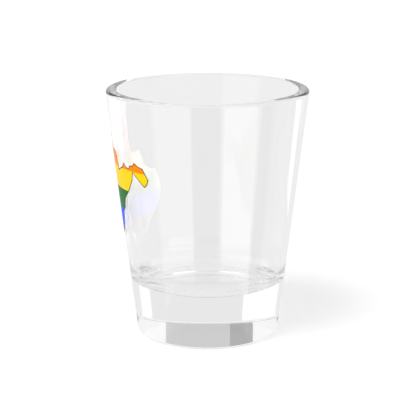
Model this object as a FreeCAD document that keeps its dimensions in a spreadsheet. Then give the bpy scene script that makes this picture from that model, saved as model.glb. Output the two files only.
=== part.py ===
"""Souvenir shot glass: a pressed glass tumbler with a striped motif printed on one side.

Frame: millimetres, +Z up, origin at the middle of the foot, on the surface that the glass stands on.
The motif is printed round the -X side of the glass.
"""
import FreeCAD, Part
import os
import Sketcher

doc = FreeCAD.newDocument("ShotGlass")

# ---------------------------------------------------------------- driving sizes
SIZES = (
    ("glass_height", 60.0, "foot to lip"),
    ("mouth_radius", 24.36, "outside of the cone, carried up to the lip"),
    ("foot_radius", 17.42, "outside of the cone, carried down to the foot"),
    ("lip_wall", 2.8, "glass at the lip, before it is rounded"),
    ("floor_wall", 1.4, "glass beside the bottom of the cavity, before its corner is rounded"),
    ("floor_thickness", 12.6, "solid glass under the edge of the cavity's floor"),
    ("floor_dish", 0.3, "how much lower the middle of the cavity's floor is"),
    ("cavity_corner", 5.0, "rounding of the cavity's bottom"),
    ("lip_outer_round", 0.7, "fire-polished outer edge of the lip"),
    ("lip_inner_round", 0.7, "fire-polished inner edge of the lip"),
    ("foot_round", 0.9, "outer edge of the foot"),
    ("bearing_width", 1.5, "ring of the foot that touches the table, with its rounding"),
    ("punt_depth", 0.35, "hollow under the foot, inside that ring"),
    ("print_lip_gap", 6.7, "lip to the top of the motif"),
    ("print_foot_gap", 21.4, "foot to the bottom of the motif"),
    ("print_half_turn", 52.5, "degrees from the motif's middle to each end"),
    ("underbase_ink", 0.05, "thickness of the white ink under the colours"),
    ("colour_ink", 0.04, "thickness of the colours and the outline"),
    ("outline_width", 0.22, "dark line round the motif"),
    ("clearance", 1.0, "how far cutting tools pass the glass"),
)
sheet = doc.addObject("Spreadsheet::Sheet", "Sizes")
for row, (alias, value, note) in enumerate(SIZES, start=1):
    sheet.set(f"A{row}", alias)
    sheet.set(f"B{row}", str(value))
    sheet.setAlias(f"B{row}", alias)
    sheet.set(f"C{row}", note)
doc.recompute()

# Sizes worked out from those. TAPER is how much the outside widens for each millimetre of height.
TAPER = "((Sizes.mouth_radius - Sizes.foot_radius) / Sizes.glass_height)"
CAVITY_MOUTH = "Sizes.mouth_radius - Sizes.lip_wall"
CAVITY_FLOOR = f"Sizes.foot_radius + {TAPER} * Sizes.floor_thickness - Sizes.floor_wall"
PUNT_RADIUS = "Sizes.foot_radius - Sizes.bearing_width"
STRIPE_COLOURS = ("violet", "blue", "green", "yellow", "orange", "red")
STRIPE_HEIGHT = (
    "((Sizes.glass_height - Sizes.print_lip_gap - Sizes.print_foot_gap)"
    f" / {len(STRIPE_COLOURS)})"
)


def size(expression):
    """The value that an expression on the sheet has now, used to place first drafts and find edges."""
    return float(sheet.evalExpression(expression.replace("Sizes.", "")))


# ---------------------------------------------------------------- the glass
Y_AXIS = -2  # Sketcher's own number for a sketch's vertical axis
glass = doc.addObject("PartDesign::Body", "glass_tumbler")
glass.Label = "glass_tumbler"


def origin_plane(body, role):
    """The body's own origin plane with this role."""
    return next(f for f in body.Origin.OriginFeatures if f.Role == role)


def turned_profile(name, corners, dished=False):
    """A closed profile on the XZ plane. Corners are (radius, height) expressions, in order.

    The sides are straight. With dished, the first is an arc that starts level, on the axis.
    """
    sketch = glass.newObject("Sketcher::SketchObject", name)
    sketch.AttachmentSupport = [(origin_plane(glass, "XZ_Plane"), "")]
    sketch.MapMode = "FlatFace"
    places = [FreeCAD.Vector(size(radius), size(height), 0) for radius, height in corners]
    sides = [Part.LineSegment(*ends) for ends in zip(places, places[1:] + places[:1])]
    if dished:
        sides[0] = arc_from_axis(places[0], places[1])
    sketch.addGeometry(sides, False)
    if dished:
        sketch.addConstraint(Sketcher.Constraint("PointOnObject", 0, 3, Y_AXIS))
    bind_corners(sketch, corners)
    return sketch


def arc_from_axis(middle, rim):
    """The arc that leaves the axis level at middle and rises to rim."""
    rise = rim.y - middle.y
    radius = (rim.x**2 + rise**2) / (2 * rise)
    centre = FreeCAD.Vector(0, middle.y + radius, 0)
    circle = Part.Circle(centre, FreeCAD.Vector(0, 0, 1), radius)
    return Part.ArcOfCircle(circle, circle.parameter(middle), circle.parameter(rim))


def bind_corners(sketch, corners):
    """Ties the start of each side to its corner's two expressions, and its end to the next start."""
    count = len(corners)
    for side in range(count):
        following = (side + 1) % count
        sketch.addConstraint(Sketcher.Constraint("Coincident", side, 2, following, 1))
    for side, (across, up) in enumerate(corners):
        for kind, expression in (("DistanceX", across), ("DistanceY", up)):
            constraint = Sketcher.Constraint(kind, side, 1, size(expression))
            index = sketch.addConstraint(constraint)
            sketch.setExpression(f"Constraints[{index}]", expression)


def turn(kind, name, sketch):
    """A full turn of a profile about the glass's axis: a Revolution adds glass, a Groove removes it."""
    feature = glass.newObject(kind, name)
    feature.Profile = sketch
    feature.ReferenceAxis = (sketch, ["V_Axis"])
    feature.Angle = 360.0
    doc.recompute()
    return feature


def round_edge(name, radius, height, rounding):
    """A fillet on the circular edge of the glass that has this radius and height."""
    base = glass.Tip
    wanted = FreeCAD.Vector(size(radius), 0, size(height))
    nearest = min(
        range(len(base.Shape.Edges)),
        key=lambda i: ring_miss(base.Shape.Edges[i], wanted),
    )
    fillet = glass.newObject("PartDesign::Fillet", name)
    fillet.Base = (base, [f"Edge{nearest + 1}"])
    fillet.setExpression("Radius", rounding)
    doc.recompute()


def ring_miss(edge, wanted):
    """How far a horizontal circle about the axis is from the wanted (radius, 0, height)."""
    if edge.Degenerated or not isinstance(edge.Curve, Part.Circle):
        return float("inf")
    centre = edge.Curve.Center
    found = FreeCAD.Vector(edge.Curve.Radius, 0, centre.z)
    return (found - wanted).Length


outside = turned_profile(
    "outside_profile",
    (
        ("0", "0"),
        ("Sizes.foot_radius", "0"),
        ("Sizes.mouth_radius", "Sizes.glass_height"),
        ("0", "Sizes.glass_height"),
    ),
)
turn("PartDesign::Revolution", "outside", outside)
cavity = turned_profile(
    "cavity_profile",
    (
        ("0", "Sizes.floor_thickness - Sizes.floor_dish"),
        (CAVITY_FLOOR, "Sizes.floor_thickness"),
        (CAVITY_MOUTH, "Sizes.glass_height"),
        ("0", "Sizes.glass_height"),
    ),
    dished=True,
)
turn("PartDesign::Groove", "cavity", cavity)
punt = turned_profile(
    "punt_profile",
    (
        ("0", "0"),
        (f"{PUNT_RADIUS}", "0"),
        (f"{PUNT_RADIUS} - Sizes.punt_depth", "Sizes.punt_depth"),
        ("0", "Sizes.punt_depth"),
    ),
)
turn("PartDesign::Groove", "punt", punt)
round_edge("cavity_rounding", CAVITY_FLOOR, "Sizes.floor_thickness", "Sizes.cavity_corner")
round_edge("lip_outside", "Sizes.mouth_radius", "Sizes.glass_height", "Sizes.lip_outer_round")
round_edge("lip_inside", CAVITY_MOUTH, "Sizes.glass_height", "Sizes.lip_inner_round")
round_edge("foot_rounding", "Sizes.foot_radius", "0", "Sizes.foot_round")

# ---------------------------------------------------------------- the motif's outline
# The outline of an imaginary stretch of land. Each corner is (turn, height): the turn from the
# motif's middle as a share of its half turn, positive towards -Y, and the height in stripes above
# the motif's lowest point. It runs up the end that faces +Y, over the top and back underneath.
LAND_OUTLINE = (
    (-1.000, 2.10), (-0.965, 2.55), (-0.930, 3.00), (-0.820, 3.06), (-0.700, 3.30),
    (-0.650, 3.75), (-0.600, 4.08), (-0.470, 4.02), (-0.340, 4.16), (-0.285, 4.70),
    (-0.300, 5.40), (-0.240, 5.86), (-0.130, 6.00), (-0.030, 5.74), (0.020, 5.25),
    (0.130, 5.06), (0.210, 4.72), (0.300, 4.66), (0.372, 4.50), (0.395, 3.86),
    (0.450, 3.96), (0.520, 4.06), (0.563, 4.28), (0.625, 4.12), (0.675, 4.10),
    (0.700, 4.25), (0.755, 4.28), (0.790, 4.44), (0.850, 4.31), (0.925, 4.24),
    (0.958, 4.02), (1.000, 3.78), (0.975, 3.52), (0.930, 3.38), (0.870, 3.56),
    (0.748, 3.95), (0.722, 3.58), (0.650, 3.16), (0.580, 2.86), (0.500, 2.62),
    (0.450, 2.12), (0.370, 1.85), (0.330, 1.34), (0.270, 0.98), (0.120, 0.60),
    (-0.030, 0.52), (-0.180, 0.40), (-0.340, 0.22), (-0.540, 0.00), (-0.640, 0.12),
    (-0.705, 0.45), (-0.790, 0.72), (-0.870, 1.02), (-0.955, 1.55),
)


def land_corner(turn_share, stripes):
    """Where a corner lies, seen square on from -X: (y, z) expressions on the glass's outside."""
    up = f"(Sizes.print_foot_gap + {stripes} * {STRIPE_HEIGHT})"
    radius = f"(Sizes.foot_radius + {TAPER} * {up})"
    across = f"-{radius} * sin({turn_share} * Sizes.print_half_turn * 1 deg)"
    return across, up


land = doc.addObject("Sketcher::SketchObject", "land_outline")
land.Placement = FreeCAD.Placement(
    FreeCAD.Vector(0, 0, 0),
    FreeCAD.Rotation(FreeCAD.Vector(0, 1, 0), FreeCAD.Vector(0, 0, 1), FreeCAD.Vector(1, 0, 0)),
)
land_corners = [land_corner(*corner) for corner in LAND_OUTLINE]
land_places = [FreeCAD.Vector(size(across), size(up), 0) for across, up in land_corners]
for start, end in zip(land_places, land_places[1:] + land_places[:1]):
    land.addGeometry(Part.LineSegment(start, end), False)
bind_corners(land, land_corners)
doc.recompute()

colour_area = doc.addObject("Part::Offset2D", "colour_area")
colour_area.Source = land
colour_area.Join = "Arc"
colour_area.setExpression("Value", "-Sizes.outline_width")


def towards_print(name, face):
    """A flat outline carried out from the glass's axis through its -X side."""
    prism = doc.addObject("Part::Extrusion", name)
    prism.Base = face
    prism.DirMode = "Custom"
    prism.Dir = FreeCAD.Vector(-1, 0, 0)
    prism.Solid = True
    prism.setExpression("LengthFwd", "Sizes.mouth_radius + Sizes.clearance")
    return prism


land_prism = towards_print("land_prism", land)
colour_prism = towards_print("colour_prism", colour_area)
line_prism = doc.addObject("Part::Cut", "line_prism")
line_prism.Base = land_prism
line_prism.Tool = colour_prism


# ---------------------------------------------------------------- the inks
def cone_outside_glass(name, film):
    """A solid cone whose side lies this far outside the glass, measured square to the glass."""
    cone = doc.addObject("Part::Cone", name)
    spread = f"({film}) * sqrt(1 + {TAPER}^2)"
    cone.setExpression("Radius1", f"Sizes.foot_radius + {spread}")
    cone.setExpression("Radius2", f"Sizes.mouth_radius + {spread}")
    cone.setExpression("Height", "Sizes.glass_height")
    return cone


def film_between(name, outer, inner):
    """The thin sleeve of ink between two cones."""
    film = doc.addObject("Part::Cut", name)
    film.Base = outer
    film.Tool = inner
    return film


def printed(name, *shapes):
    """A printed piece: what a sleeve of ink has in common with the shapes that limit it."""
    piece = doc.addObject("Part::MultiCommon", name)
    piece.Shapes = list(shapes)
    piece.Label = name
    return piece


glass_cone = cone_outside_glass("glass_cone", "0")
white_cone = cone_outside_glass("white_cone", "Sizes.underbase_ink")
colour_cone = cone_outside_glass("colour_cone", "Sizes.underbase_ink + Sizes.colour_ink")
white_film = film_between("white_film", white_cone, glass_cone)
colour_film = film_between("colour_film", colour_cone, white_cone)
nodes = [glass, printed("white_underbase", white_film, land_prism)]

for number, colour in enumerate(STRIPE_COLOURS):
    band = doc.addObject("Part::Box", f"{colour}_band")
    band.setExpression("Length", "Sizes.mouth_radius + Sizes.clearance")
    band.setExpression("Width", "2 * (Sizes.mouth_radius + Sizes.clearance)")
    band.setExpression("Height", STRIPE_HEIGHT)
    band.setExpression("Placement.Base.x", "-(Sizes.mouth_radius + Sizes.clearance)")
    band.setExpression("Placement.Base.y", "-(Sizes.mouth_radius + Sizes.clearance)")
    band.setExpression("Placement.Base.z", f"Sizes.print_foot_gap + {number} * {STRIPE_HEIGHT}")
    nodes.append(printed(f"{colour}_stripe", colour_film, colour_prism, band))
nodes.append(printed("outline_line", colour_film, line_prism))
doc.recompute()

# ---------------------------------------------------------------- checks and files
for thing in doc.Objects:
    if {"Invalid", "Error"} & set(thing.State):
        raise RuntimeError(f"{thing.Name} failed: {thing.State}")
for node in nodes:
    if node.Shape.isNull() or not node.Shape.isValid() or not node.Shape.Solids:
        raise RuntimeError(f"{node.Label} has no valid solid")

os.makedirs("parts", exist_ok=True)
for node in nodes:
    node.Shape.exportStep(os.path.join("parts", node.Label + ".step"))
    print(node.Label, len(node.Shape.Solids), "solid(s),", round(node.Shape.Volume, 3), "mm3")
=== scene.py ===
"""Souvenir shot glass: a pressed glass tumbler with a rainbow-striped motif printed round its -X side.

Frame: metres, +Z up, origin at the middle of the foot. Sizes are written in millimetres and times MM.
"""
import math

import bpy
import numpy as np
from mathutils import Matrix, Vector
from mathutils.geometry import delaunay_2d_cdt


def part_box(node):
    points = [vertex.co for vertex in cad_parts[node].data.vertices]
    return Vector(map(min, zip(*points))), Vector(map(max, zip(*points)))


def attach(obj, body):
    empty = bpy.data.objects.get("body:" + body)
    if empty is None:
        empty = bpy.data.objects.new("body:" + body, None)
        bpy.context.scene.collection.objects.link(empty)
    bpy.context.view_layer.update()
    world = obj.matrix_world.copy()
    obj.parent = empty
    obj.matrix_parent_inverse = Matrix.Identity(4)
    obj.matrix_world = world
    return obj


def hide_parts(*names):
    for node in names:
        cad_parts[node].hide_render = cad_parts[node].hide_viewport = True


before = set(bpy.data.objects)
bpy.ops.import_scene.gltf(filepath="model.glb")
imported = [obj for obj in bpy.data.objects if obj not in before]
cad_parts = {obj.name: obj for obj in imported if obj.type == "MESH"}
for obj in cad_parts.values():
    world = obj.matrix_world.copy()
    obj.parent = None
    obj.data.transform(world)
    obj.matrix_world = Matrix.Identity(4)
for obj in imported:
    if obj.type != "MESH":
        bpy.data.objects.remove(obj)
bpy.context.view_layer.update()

MM = 0.001

# ---------------------------------------------------------------- the tumbler
# One thick gob of soda-lime glass pressed in a polished mould: a plain cone outside, a narrower
# cavity with a rounded bottom inside, and a solid heel of clear glass below it. The lip is
# fire-polished, and a shallow punt leaves only a ring of the foot on the table.
GLASS_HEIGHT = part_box("glass_tumbler")[1].z
MOUTH_RADIUS = 24.36 * MM  # of the cone, carried up to the lip
FOOT_RADIUS = 17.42 * MM  # of the cone, carried down to the foot
LIP_WALL = 2.8 * MM
FLOOR_WALL = 1.4 * MM
FLOOR_THICKNESS = 12.6 * MM
FLOOR_DISH = 0.3 * MM
CAVITY_CORNER = 5.0 * MM
LIP_ROUND = 0.7 * MM
FOOT_ROUND = 0.9 * MM
BEARING_WIDTH = 1.5 * MM
PUNT_DEPTH = 0.35 * MM
TURN_STEPS = 384
LONGEST_SIDE = 1.0 * MM
FOOT_STEPS, LIP_STEPS, CORNER_STEPS, DISH_STEPS = 12, 16, 24, 18
SHARP_EDGE = math.radians(40)
TAPER = (MOUTH_RADIUS - FOOT_RADIUS) / GLASS_HEIGHT


def rounded(before, corner, after, radius, steps):
    """Points of the arc that rounds a corner: it touches both sides radius / tan(half angle) away."""
    before, corner, after = map(np.array, (before, corner, after))
    to_before = (before - corner) / np.linalg.norm(before - corner)
    to_after = (after - corner) / np.linalg.norm(after - corner)
    half = math.acos(to_before @ to_after) / 2
    bisector = (to_before + to_after) / np.linalg.norm(to_before + to_after)
    centre = corner + bisector * radius / math.sin(half)
    start = corner + to_before * radius / math.tan(half) - centre
    end = corner + to_after * radius / math.tan(half) - centre
    turn = math.atan2(start[0] * end[1] - start[1] * end[0], start @ end)
    angle = turn * np.linspace(0, 1, steps)[:, None]
    quarter = np.array([-start[1], start[0]])
    return centre + start * np.cos(angle) + quarter * np.sin(angle)


def divided(profile, longest):
    """The same profile with every side split evenly, so that none is longer than longest."""
    runs = []
    for start, end in zip(profile[:-1], profile[1:]):
        count = max(1, math.ceil(np.linalg.norm(end - start) / longest))
        share = np.arange(count)[:, None] / count
        runs.append(start + (end - start) * share)
    return np.vstack(runs + [profile[-1:]])


def turned_mesh(name, profile, steps):
    """Surface of revolution: point (r, z) of the profile at turn a goes to (r cos a, r sin a, z).

    The profile starts and ends on the axis. Those two points are single vertices, so both poles close.
    """
    turn = np.linspace(0, 2 * np.pi, steps, endpoint=False)
    ring = profile[1:-1]
    height = np.repeat(ring[:, 1:], steps, axis=1)
    grid = np.stack((ring[:, :1] * np.cos(turn), ring[:, :1] * np.sin(turn), height), axis=-1)
    ends = [(0, 0, profile[0, 1]), (0, 0, profile[-1, 1])]
    points = np.vstack((grid.reshape(-1, 3), ends))
    index = np.arange(len(ring) * steps).reshape(len(ring), steps)
    beside = np.roll(index, -1, axis=1)
    sides = np.stack((index[:-1], beside[:-1], beside[1:], index[1:]), axis=-1).reshape(-1, 4)
    first, last = np.full(steps, len(points) - 2), np.full(steps, len(points) - 1)
    bottom = np.stack((first, beside[0], index[0]), axis=-1)
    top = np.stack((last, index[-1], beside[-1]), axis=-1)
    mesh = bpy.data.meshes.new(name)
    mesh.from_pydata(points, [], sides.tolist() + bottom.tolist() + top.tolist())
    mesh.shade_smooth()
    mesh.set_sharp_from_angle(angle=SHARP_EDGE)
    return mesh


def piece_of(mesh, slot, *nodes):
    """Puts a finished mesh into the scene as the piece that stands for these CAD nodes."""
    piece = bpy.data.objects.new(mesh.name, mesh)
    bpy.context.scene.collection.objects.link(piece)
    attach(piece, "root")
    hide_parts(*nodes)


def tumbler_profile():
    """(radius, height) from the middle of the punt, round the foot and lip, to the cavity's middle."""
    punt = FOOT_RADIUS - BEARING_WIDTH
    foot, lip = (FOOT_RADIUS, 0), (MOUTH_RADIUS, GLASS_HEIGHT)
    lip_inside = (MOUTH_RADIUS - LIP_WALL, GLASS_HEIGHT)
    corner = (FOOT_RADIUS + TAPER * FLOOR_THICKNESS - FLOOR_WALL, FLOOR_THICKNESS)
    floor = (0, FLOOR_THICKNESS)
    into_cavity = rounded(lip_inside, corner, floor, CAVITY_CORNER, CORNER_STEPS)
    across = into_cavity[-1, 0] * np.linspace(1, 0, DISH_STEPS)[1:]
    dish = FLOOR_THICKNESS - FLOOR_DISH * (1 - (across / into_cavity[-1, 0]) ** 2)
    return np.vstack((
        [(0, PUNT_DEPTH), (punt - PUNT_DEPTH, PUNT_DEPTH), (punt, 0)],
        rounded((punt, 0), foot, lip, FOOT_ROUND, FOOT_STEPS),
        rounded(foot, lip, lip_inside, LIP_ROUND, LIP_STEPS),
        rounded(lip, lip_inside, corner, LIP_ROUND, LIP_STEPS),
        into_cavity,
        np.stack((across, dish), axis=-1),
    ))


tumbler_mesh = turned_mesh("tumbler", divided(tumbler_profile(), LONGEST_SIDE), TURN_STEPS)
piece_of(tumbler_mesh, "clear_glass", "glass_tumbler")


def linear(hex_colour):
    """An sRGB hex colour as linear RGBA, channel by channel: ((c + 0.055) / 1.055) ^ 2.4."""
    channels = [int(hex_colour[i:i + 2], 16) / 255 for i in (0, 2, 4)]
    return [c / 12.92 if c <= 0.04045 else ((c + 0.055) / 1.055) ** 2.4 for c in channels] + [1]


def add(tree, kind, links=(), inputs=(), **settings):
    """Adds one node: settings are its own properties, inputs are values, links are other outputs.

    A socket goes by its name, or by its place where a node has more than one socket of that name.
    """
    node = tree.nodes.new(kind)
    for name, value in settings.items():
        setattr(node, name, value)
    for socket, value in dict(inputs).items():
        node.inputs[socket].default_value = value
    for socket, source in dict(links).items():
        tree.links.new(source, node.inputs[socket])
    return node


def new_material(name):
    """An empty node material with its Principled shader: (material, tree, shader)."""
    material = bpy.data.materials.new(name)
    material.use_nodes = True
    return material, material.node_tree, material.node_tree.nodes["Principled BSDF"]


# Pressed soda-lime glass, mould-polished outside and fire-polished at the lip: colourless and
# smooth. It takes about a tenth of the light in 50 mm, which shows where light runs along the wall.
clear, tree, shader = new_material("soda_lime_glass_pressed_fire_polished")
GLASS_LOSS = {"Color": linear("F3F3F3"), "Density": 19.3}  # it absorbs (1 - colour) x density a metre
loss = add(tree, "ShaderNodeVolumeAbsorption", inputs=GLASS_LOSS)
tree.links.new(loss.outputs["Volume"], tree.nodes["Material Output"].inputs["Volume"])
shader.inputs["Base Color"].default_value = linear("FEFEFE")
shader.inputs["Roughness"].default_value = 0.0
shader.inputs["IOR"].default_value = 1.47
shader.inputs["Transmission Weight"].default_value = 1.0
tumbler_mesh.materials.append(clear)

# ---------------------------------------------------------------- the printed motif
# The outline of a stretch of land, its middle made up, screen-printed round the -X side in
# ultraviolet-cured inks: a white underbase on the glass, six rainbow stripes over it, and a thin dark
# line round the edge. Every film is a few hundredths of a millimetre thick.
PRINT_LOW, PRINT_HIGH = (corner.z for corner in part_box("white_underbase"))
HALF_TURN = math.radians(52.5)
OUTLINE_WIDTH = 0.22 * MM
LONGEST_MITRE = 1.5
UNDERBASE_INK = 0.05 * MM
COLOUR_INK = 0.04 * MM
INK_GAP = 0.005 * MM  # a hair of air between the glass and the white
MESH_STEP = 0.35 * MM
FILL_HULL, SAME_POINT = 0, 1e-8  # the triangulation's kind of output and its nearness
STRIPES = (
    ("violet_stripe", "violet_ink", "770088"),
    ("blue_stripe", "blue_ink", "004CFF"),
    ("green_stripe", "green_ink", "0A6826"),
    ("yellow_stripe", "yellow_ink", "F2C408"),
    ("orange_stripe", "orange_ink", "FF8200"),
    ("red_stripe", "red_ink", "E50000"),
)
STRIPE_HEIGHT = (PRINT_HIGH - PRINT_LOW) / len(STRIPES)
MIDDLE_RADIUS = FOOT_RADIUS + TAPER * (PRINT_LOW + PRINT_HIGH) / 2

# Each corner is (turn, height): the turn from the motif's middle as a share of its half turn,
# positive towards -Y, and the height in stripes above the motif's lowest point.
LAND_OUTLINE = (
    (-1.000, 2.10), (-0.965, 2.55), (-0.930, 3.00), (-0.820, 3.06), (-0.700, 3.30),
    (-0.650, 3.75), (-0.600, 4.08), (-0.470, 4.02), (-0.340, 4.16), (-0.285, 4.70),
    (-0.300, 5.40), (-0.240, 5.86), (-0.130, 6.00), (-0.030, 5.74), (0.020, 5.25),
    (0.130, 5.06), (0.210, 4.72), (0.300, 4.66), (0.372, 4.50), (0.395, 3.86),
    (0.450, 3.96), (0.520, 4.06), (0.563, 4.28), (0.625, 4.12), (0.675, 4.10),
    (0.700, 4.25), (0.755, 4.28), (0.790, 4.44), (0.850, 4.31), (0.925, 4.24),
    (0.958, 4.02), (1.000, 3.78), (0.975, 3.52), (0.930, 3.38), (0.870, 3.56),
    (0.748, 3.95), (0.722, 3.58), (0.650, 3.16), (0.580, 2.86), (0.500, 2.62),
    (0.450, 2.12), (0.370, 1.85), (0.330, 1.34), (0.270, 0.98), (0.120, 0.60),
    (-0.030, 0.52), (-0.180, 0.40), (-0.340, 0.22), (-0.540, 0.00), (-0.640, 0.12),
    (-0.705, 0.45), (-0.790, 0.72), (-0.870, 1.02), (-0.955, 1.55),
)


def inside(points, outline):
    """Which points lie in a closed outline: their level ray crosses its sides an odd number of times."""
    x, y = points[:, :1], points[:, 1:]
    (x0, y0), (x1, y1) = outline.T, np.roll(outline, -1, axis=0).T
    spans = (y0 > y) != (y1 > y)
    rise = np.where(y1 == y0, 1, y1 - y0)
    crosses = spans & (x < x0 + (y - y0) * (x1 - x0) / rise)
    return crosses.sum(axis=1) % 2 == 1


def inset(outline, width):
    """The outline moved inwards: each corner goes along its mitre by width / cos(half its turn).

    The move is cut short at a sharp corner, to LONGEST_MITRE times the sum of its sides' normals.
    """
    ahead = np.roll(outline, -1, axis=0) - outline
    ahead /= np.linalg.norm(ahead, axis=1, keepdims=True)
    behind = np.roll(ahead, 1, axis=0)
    area = np.sum(outline[:, 0] * np.roll(outline[:, 1], -1) - outline[:, 1] * np.roll(outline[:, 0], -1))
    inwards = np.stack((-ahead[:, 1], ahead[:, 0]), axis=-1) * np.sign(area)
    inwards_behind = np.roll(inwards, 1, axis=0)
    mitre = inwards + inwards_behind
    reach = np.minimum(2 / np.sum(mitre * mitre, axis=1, keepdims=True), LONGEST_MITRE)
    return outline + mitre * reach * width


def flat_print():
    """The motif laid flat, with an edge along the outline, its inset and each stripe.

    A constrained Delaunay triangulation of those edges and of an even grid of points between them.
    Returns (points, triangles, middles of the triangles, which of them lie inside the outline's line).
    """
    outer = np.array(LAND_OUTLINE) * (MIDDLE_RADIUS * HALF_TURN, STRIPE_HEIGHT)
    inner = inset(outer, OUTLINE_WIDTH)
    outer, inner = (divided(np.vstack((loop, loop[:1])), MESH_STEP)[:-1] for loop in (outer, inner))
    low, high = outer.min(axis=0) - MESH_STEP, outer.max(axis=0) + MESH_STEP
    across = np.arange(low[0], high[0], MESH_STEP)
    rows = np.linspace(0, STRIPE_HEIGHT, round(STRIPE_HEIGHT / MESH_STEP), endpoint=False)
    up = np.concatenate([rows + STRIPE_HEIGHT * stripe for stripe in range(len(STRIPES))])
    grid = np.stack(np.meshgrid(across, up), axis=-1).reshape(-1, 2)
    grid = grid[inside(grid, inner)]
    levels = np.arange(1, len(STRIPES)) * STRIPE_HEIGHT
    bounds = np.array([(x, level) for level in levels for x in (low[0], high[0])])
    points = np.vstack((outer, inner, bounds, grid))
    number = np.arange(len(outer) + len(inner) + len(bounds))
    loops = np.split(number, (len(outer), len(outer) + len(inner)))
    loop_edges = [np.stack((loop, np.roll(loop, -1)), axis=-1) for loop in loops[:2]]
    edges = np.vstack(loop_edges + [loops[2].reshape(-1, 2)])
    made = delaunay_2d_cdt(points.tolist(), edges.tolist(), [], FILL_HULL, SAME_POINT)
    points, triangles = np.array(made[0]), np.array(made[2])
    middles = points[triangles].mean(axis=1)
    in_motif = inside(middles, outer)
    return points, triangles[in_motif], middles[in_motif], inside(middles[in_motif], inner)


def on_cone(flat, lift):
    """Flat point (across, up) goes to turn across / MIDDLE_RADIUS from -X, on the cone lifted by lift."""
    turn = flat[:, 0] / MIDDLE_RADIUS
    height = PRINT_LOW + flat[:, 1]
    radius = FOOT_RADIUS + TAPER * height + lift * math.hypot(1, TAPER)
    return np.stack((-radius * np.cos(turn), -radius * np.sin(turn), height), axis=-1)


def film_mesh(name, points, triangles, low, high):
    """A closed film of ink: its triangles on the cone at both lifts, and a wall along each open edge."""
    used, triangles = np.unique(triangles, return_inverse=True)
    triangles = triangles.reshape(-1, 3)
    flat, count = points[used], len(used)
    sides = np.vstack((triangles[:, [0, 1]], triangles[:, [1, 2]], triangles[:, [2, 0]]))
    key = np.sort(sides, axis=1) @ (count, 1)
    _, first, seen = np.unique(key, return_index=True, return_counts=True)
    rim = sides[first[seen == 1]]
    walls = np.stack((rim[:, 0], rim[:, 1], rim[:, 1] + count, rim[:, 0] + count), axis=-1)
    vertices = np.vstack((on_cone(flat, low), on_cone(flat, high)))
    faces = triangles[:, ::-1].tolist() + (triangles + count).tolist() + walls.tolist()
    mesh = bpy.data.meshes.new(name)
    mesh.from_pydata(vertices, [], faces)
    mesh.shade_smooth()
    mesh.set_sharp_from_angle(angle=SHARP_EDGE)
    return mesh


def cured_ink(name, hex_colour):
    """Ultraviolet-cured printing ink, screen-printed: dense colour, satin gloss, faint stipple.

    The marks of a real screen are about 0.1 mm apart; they are drawn 0.25 mm wide so that they can
    show. The slow changes of shade and gloss are about 4 mm wide.
    """
    material, tree, shader = new_material(name)
    place = add(tree, "ShaderNodeTexCoord").outputs["Object"]
    stipple = add(tree, "ShaderNodeTexNoise", {"Vector": place}, {"Scale": 4000, "Detail": 2})
    cloud = add(tree, "ShaderNodeTexNoise", {"Vector": place}, {"Scale": 260, "Detail": 3})
    shade = add(
        tree, "ShaderNodeMapRange", {"Value": cloud.outputs["Fac"]},
        {"From Min": 0.3, "From Max": 0.7, "To Min": 0.94, "To Max": 1.04},
    )
    colour = add(
        tree, "ShaderNodeHueSaturation", {"Value": shade.outputs["Result"]},
        {"Color": linear(hex_colour)},
    )
    gloss = add(
        tree, "ShaderNodeMapRange", {"Value": cloud.outputs["Fac"]},
        {"From Min": 0.3, "From Max": 0.7, "To Min": 0.3, "To Max": 0.42},
    )
    bump = add(
        tree, "ShaderNodeBump", {"Height": stipple.outputs["Fac"]},
        {"Strength": 0.25, "Distance": 0.01 * MM},
    )
    tree.links.new(colour.outputs["Color"], shader.inputs["Base Color"])
    tree.links.new(gloss.outputs["Result"], shader.inputs["Roughness"])
    tree.links.new(bump.outputs["Normal"], shader.inputs["Normal"])
    shader.inputs["IOR"].default_value = 1.5
    shader.inputs["Specular IOR Level"].default_value = 0.05
    return material, tree, shader, colour


flat_points, flat_triangles, flat_middles, inside_line = flat_print()
stripe_of = np.clip(flat_middles[:, 1] // STRIPE_HEIGHT, 0, len(STRIPES) - 1)

# The white underbase: the whole motif, a hair of air off the glass. A little of each stripe's colour is
# mixed into its own colour: partly the stripe showing through the thin white, partly painted light
# standing in for light from outside that comes in through the stripe.
white_mesh = film_mesh("white_underbase_ink", flat_points, flat_triangles, INK_GAP, UNDERBASE_INK)
white_ink, tree, shader, colour = cured_ink("white_ink_screen_printed_underbase", "F4F4F2")
place = add(tree, "ShaderNodeSeparateXYZ", {"Vector": add(tree, "ShaderNodeTexCoord").outputs["Object"]})
level = add(
    tree, "ShaderNodeMapRange", {"Value": place.outputs["Z"]},
    {"From Min": PRINT_LOW, "From Max": PRINT_HIGH},
)
tint = add(tree, "ShaderNodeValToRGB", {"Fac": level.outputs["Result"]})
tint.color_ramp.interpolation = "CONSTANT"
for number, (_, _, hex_colour) in enumerate(STRIPES):
    share = number / len(STRIPES)
    stop = tint.color_ramp.elements[0] if number == 0 else tint.color_ramp.elements.new(share)
    stop.color = linear(hex_colour)
tint.color_ramp.elements.remove(tint.color_ramp.elements[-1])
# Share of stripe colour in the white, seen from inside the glass: partly real show-through, partly painted
# backlight.
BACKLIT_TINT_SHARE = 0.14
backlit_tint_mix = add(
    tree, "ShaderNodeMix", {6: colour.outputs["Color"], 7: tint.outputs["Color"]}, {0: BACKLIT_TINT_SHARE},
    data_type="RGBA",
)
tree.links.new(backlit_tint_mix.outputs[2], shader.inputs["Base Color"])
white_mesh.materials.append(white_ink)
piece_of(white_mesh, "white_ink", "white_underbase")

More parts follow.
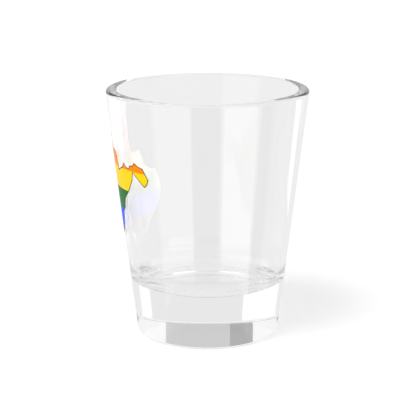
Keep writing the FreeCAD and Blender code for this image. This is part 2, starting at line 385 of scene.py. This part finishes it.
# The six colours: equal stripes over the white, butted edge to edge, inside the outline.
for number, (node, slot, hex_colour) in enumerate(STRIPES):
    chosen = inside_line & (stripe_of == number)
    mesh = film_mesh(
        node + "_ink", flat_points, flat_triangles[chosen], UNDERBASE_INK, UNDERBASE_INK + COLOUR_INK
    )
    mesh.materials.append(cured_ink(slot + "_screen_printed", hex_colour)[0])
    piece_of(mesh, slot, node)

# The outline: one thin greenish-black line round the whole motif.
line_triangles = flat_triangles[~inside_line]
line_mesh = film_mesh(
    "outline_line_ink", flat_points, line_triangles, UNDERBASE_INK, UNDERBASE_INK + COLOUR_INK
)
line_mesh.materials.append(cured_ink("black_ink_screen_printed_line", "1E241C")[0])
piece_of(line_mesh, "black_ink", "outline_line")

# ---------------------------------------------------------------- the camera
# A long lens in front of the glass and nearly twice as high as it, looking about 15 degrees down at the
# middle of the glass. It has no shift and no depth of field.
camera_data = bpy.data.cameras.new("camera")
camera_data.sensor_width = 36
camera_data.lens = 112.2
camera_data.clip_start = 0.01
camera = bpy.data.objects.new("camera", camera_data)
camera.location = (0.0001, -0.3066, 0.1104)
camera.rotation_euler = (math.radians(75.36), 0, 0)
bpy.context.scene.collection.objects.link(camera)
bpy.context.scene.camera = camera
bpy.context.scene.view_settings.view_transform = "Standard"

# Light runs a long way inside a thick wall before it comes out, so its path may be long.
PATH_TURNS = 22
paths = bpy.context.scene.cycles
paths.max_bounces = PATH_TURNS
paths.transmission_bounces = PATH_TURNS
paths.glossy_bounces = PATH_TURNS

# ---------------------------------------------------------------- the floor
# A wide sheet of white paper that takes the glass's shadow. About half of its white is its own
# glow, so that the shadow stays pale. It is hidden from glass and gloss, which see the lower half of
# the light tent instead.
FLOOR_REACH = 20.0
FLOOR_DROP = 0.02 * MM
PAPER_GREY = "9E9E9E"
PAPER_GLOW = 0.54
sides = ((-1, -1), (1, -1), (1, 1), (-1, 1))
corners = [(x * FLOOR_REACH, y * FLOOR_REACH, -FLOOR_DROP) for x, y in sides]
floor_mesh = bpy.data.meshes.new("floor")
floor_mesh.from_pydata(corners, [], [(0, 1, 2, 3)])
floor = bpy.data.objects.new("floor", floor_mesh)
floor.visible_transmission = False
floor.visible_glossy = False
bpy.context.scene.collection.objects.link(floor)
paper, tree, shader = new_material("white_paper_matt")
shader.inputs["Base Color"].default_value = linear(PAPER_GREY)
shader.inputs["Roughness"].default_value = 1.0
shader.inputs["Specular IOR Level"].default_value = 0.0
shader.inputs["Emission Color"].default_value = linear("FFFFFF")
shader.inputs["Emission Strength"].default_value = PAPER_GLOW
floor_mesh.materials.append(paper)

# ---------------------------------------------------------------- the studio
# A white tent all round, a little darker below, with a few screens and gaps that clear glass can
# mirror. Each row is left, right, bottom and top in degrees and a brightness; later rows cover earlier
# ones. Azimuth 0 lies behind the glass (+Y) and 90 at its right (+X); elevation is above the horizon.
TENT_ABOVE = 1.0
TENT_BELOW = 0.87
PANELS = (
    (-160, -110, -30, 10, 1.5),  # tall screen in front on the left
    (115, 160, -30, -15, 1.8),  # low screen in front on the right
    (95, 115, -30, -15, 0.4),  # gap beside it
    (165, 200, -30, -15, 0.3),  # gap in front, below the camera
    (110, 140, 10, 25, 1.6),  # softbox in front on the right
    (-55, -18, -15, -5, 1.1),  # white board behind on the left
    (35, 50, -15, -5, 1.1),  # and on the right
    (-28, 25, 15, 25, 0.65),  # grey cloth behind
    (-28, -12, 15, 25, 0.45),  # its darker left end
    (-40, 100, 30, 65, 0.5),  # unlit roof behind and at the right
)
world = bpy.data.worlds.new("light_tent")
bpy.context.scene.world = world
world.use_nodes = True
tree = world.node_tree
direction = add(tree, "ShaderNodeTexCoord").outputs["Generated"]
level_part = add(tree, "ShaderNodeVectorMath", {0: direction}, {1: (1, 1, 0)}, operation="MULTIPLY")
heading = add(tree, "ShaderNodeVectorMath", {0: level_part.outputs[0]}, operation="NORMALIZE").outputs[0]
up = add(tree, "ShaderNodeSeparateXYZ", {"Vector": direction}).outputs["Z"]
elevation = add(tree, "ShaderNodeMath", {0: up}, operation="ARCSINE").outputs[0]
above = add(tree, "ShaderNodeMath", {0: up}, {1: 0}, operation="GREATER_THAN").outputs[0]
total = add(
    tree, "ShaderNodeMath", {0: above}, {1: TENT_ABOVE - TENT_BELOW, 2: TENT_BELOW},
    operation="MULTIPLY_ADD",
).outputs[0]
for left, right, low, high, brightness in PANELS:
    middle, half_width = math.radians(left + right) / 2, math.radians(right - left) / 2
    towards = add(
        tree, "ShaderNodeVectorMath", {0: heading}, {1: (math.sin(middle), math.cos(middle), 0)},
        operation="DOT_PRODUCT",
    )
    wide = add(
        tree, "ShaderNodeMath", {0: towards.outputs["Value"]}, {1: math.cos(half_width)},
        operation="GREATER_THAN",
    )
    tall = add(
        tree, "ShaderNodeMath", {0: elevation},
        {1: math.radians(low + high) / 2, 2: math.radians(high - low) / 2}, operation="COMPARE",
    )
    lit = add(tree, "ShaderNodeMath", {0: wide.outputs[0], 1: tall.outputs[0]}, operation="MULTIPLY")
    change = add(tree, "ShaderNodeMath", {1: total}, {0: brightness}, operation="SUBTRACT").outputs[0]
    total = add(
        tree, "ShaderNodeMath", {0: lit.outputs[0], 1: change, 2: total}, operation="MULTIPLY_ADD"
    ).outputs[0]

# Not physical: tent light on an ink or the paper counts 1 + the gain times where it, or the sight of
# it, goes through the glass, so that the white behind the wall is as bright as wanted. The camera sees
# the tent as plain white.
THROUGH_GLASS_GAIN = 2.2
WHITE_BEHIND = 1.1
ONCE = 0.5  # a depth above this has counted at least one bounce
path = add(tree, "ShaderNodeLightPath").outputs
diffuse = add(tree, "ShaderNodeMath", {0: path["Diffuse Depth"]}, {1: ONCE}, operation="GREATER_THAN")
through = add(tree, "ShaderNodeMath", {0: path["Transmission Depth"]}, {1: ONCE}, operation="GREATER_THAN")
both = add(tree, "ShaderNodeMath", {0: diffuse.outputs[0], 1: through.outputs[0]}, operation="MULTIPLY")
gain = add(
    tree, "ShaderNodeMath", {0: both.outputs[0]}, {1: THROUGH_GLASS_GAIN, 2: 1}, operation="MULTIPLY_ADD"
)
strength = add(tree, "ShaderNodeMath", {0: total, 1: gain.outputs[0]}, operation="MULTIPLY")
tent = tree.nodes["Background"]
tent.inputs["Color"].default_value = linear("FFFFFF")
tree.links.new(strength.outputs[0], tent.inputs["Strength"])
white = add(tree, "ShaderNodeBackground", inputs={"Color": linear("FFFFFF"), "Strength": WHITE_BEHIND})
seen = add(
    tree, "ShaderNodeMixShader", {"Fac": path["Is Camera Ray"], 1: tent.outputs[0], 2: white.outputs[0]}
)
tree.links.new(seen.outputs[0], tree.nodes["World Output"].inputs["Surface"])

# The key: one wide soft light high in front on the left. It lights the inks and throws the soft shadow.
KEY_AZIMUTH, KEY_ELEVATION = math.radians(-135), math.radians(63)
KEY_WIDTH = math.radians(26)
KEY_STRENGTH = 2.4
key_data = bpy.data.lights.new("key_light", "SUN")
key_data.angle = KEY_WIDTH
key_data.energy = KEY_STRENGTH
key = bpy.data.objects.new("key_light", key_data)
towards_key = Vector((
    math.sin(KEY_AZIMUTH) * math.cos(KEY_ELEVATION),
    math.cos(KEY_AZIMUTH) * math.cos(KEY_ELEVATION),
    math.sin(KEY_ELEVATION),
))
key.rotation_euler = towards_key.to_track_quat("Z", "Y").to_euler()
key.visible_camera = False
key.visible_transmission = False
key.visible_glossy = False
bpy.context.scene.collection.objects.link(key)
